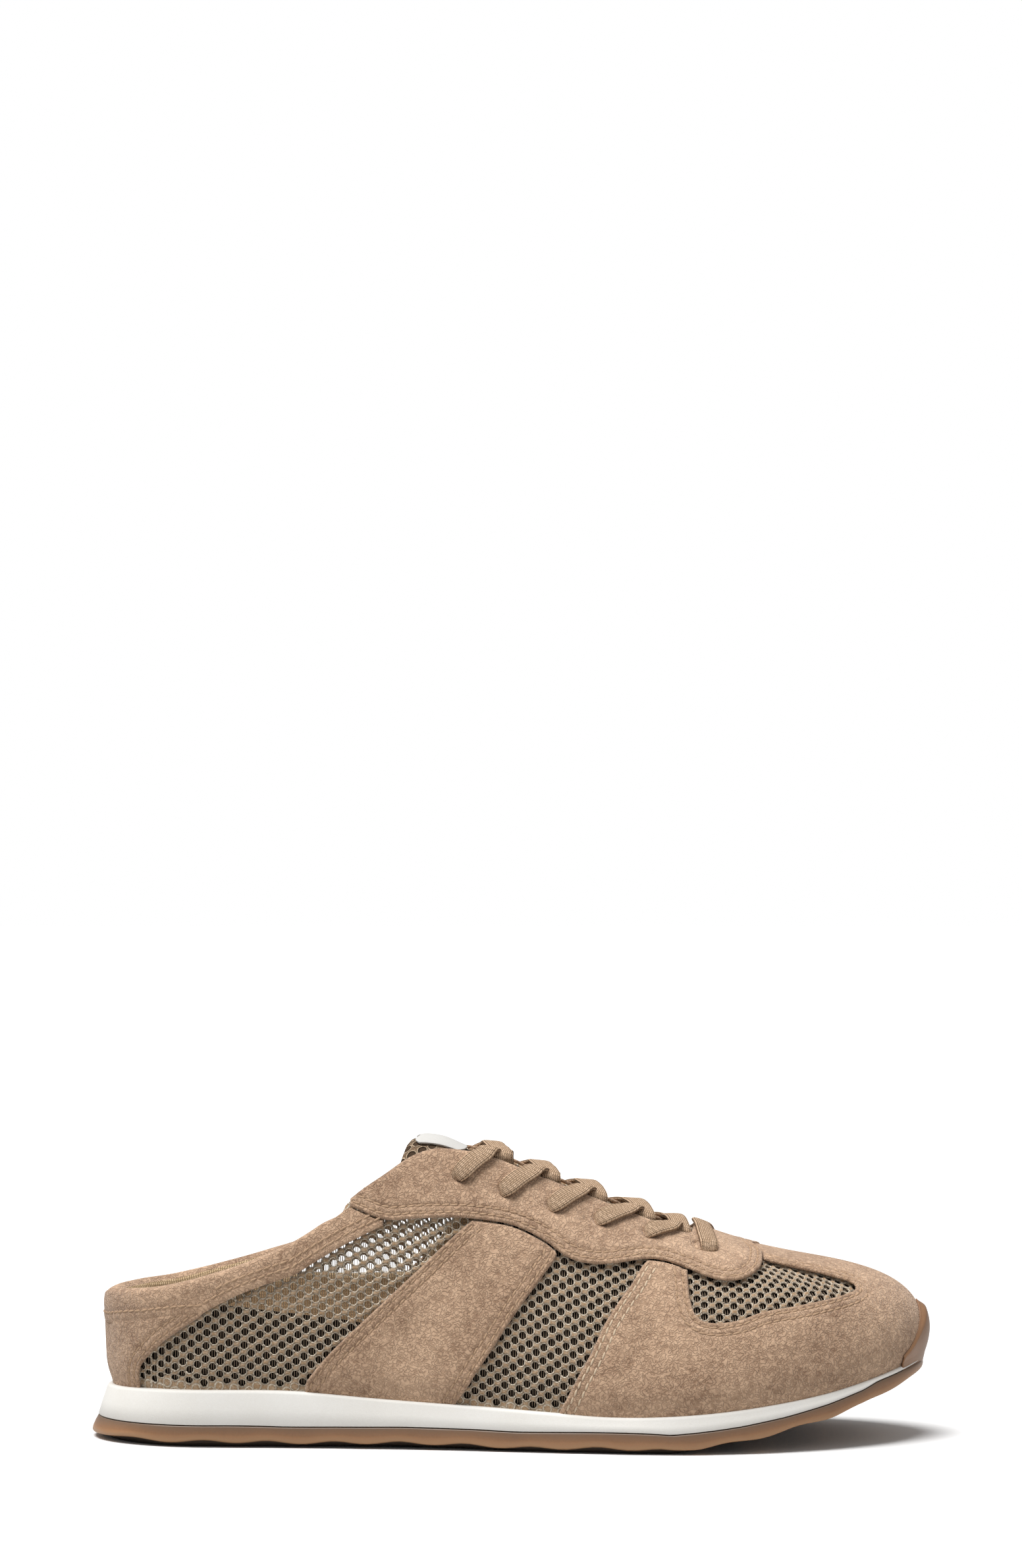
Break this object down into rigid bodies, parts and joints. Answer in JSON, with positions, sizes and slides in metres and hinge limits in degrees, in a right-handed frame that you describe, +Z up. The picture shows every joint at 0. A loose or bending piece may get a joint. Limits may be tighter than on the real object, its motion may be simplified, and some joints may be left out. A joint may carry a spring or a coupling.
{
  "type": "sneaker mule",
  "caption": "Backless retro runner: suede overlays on a mesh upper, padded tongue, flat crossed laces, foam midsole and a rubber outsole that turns up over the toe.",
  "frame": {"origin": "middle of the footprint, on the floor plane", "axes": "+X from heel to toe, +Y to the medial side of this right shoe, +Z up"},
  "size_m": [0.2668, 0.092, 0.0959],
  "materials": {
    "mesh": "open knitted mesh",
    "suede": "napped suede",
    "sock": "woven sock lining",
    "foam": "satin moulded foam",
    "gum": "satin translucent rubber",
    "tongue_cloth": "padded open mesh",
    "label": "bare woven tab",
    "lace": "flat woven lace"
  },
  "bodies": {
    "root": {"upper": "mesh", "eyestay": "suede", "heel_counter": "suede", "collar_band": "suede", "side_stripe_lateral": "suede", "side_stripe_medial": "suede", "toe_cap": "suede", "insole": "sock", "midsole": "foam", "outsole": "gum", "tongue": "tongue_cloth", "tongue_label": "label", "lace_crossing_1": "lace", "lace_crossing_2": "lace", "lace_crossing_3": "lace", "lace_crossing_4": "lace", "lace_crossing_5": "lace", "lace_bar": "lace"}
  },
  "joints": []
}
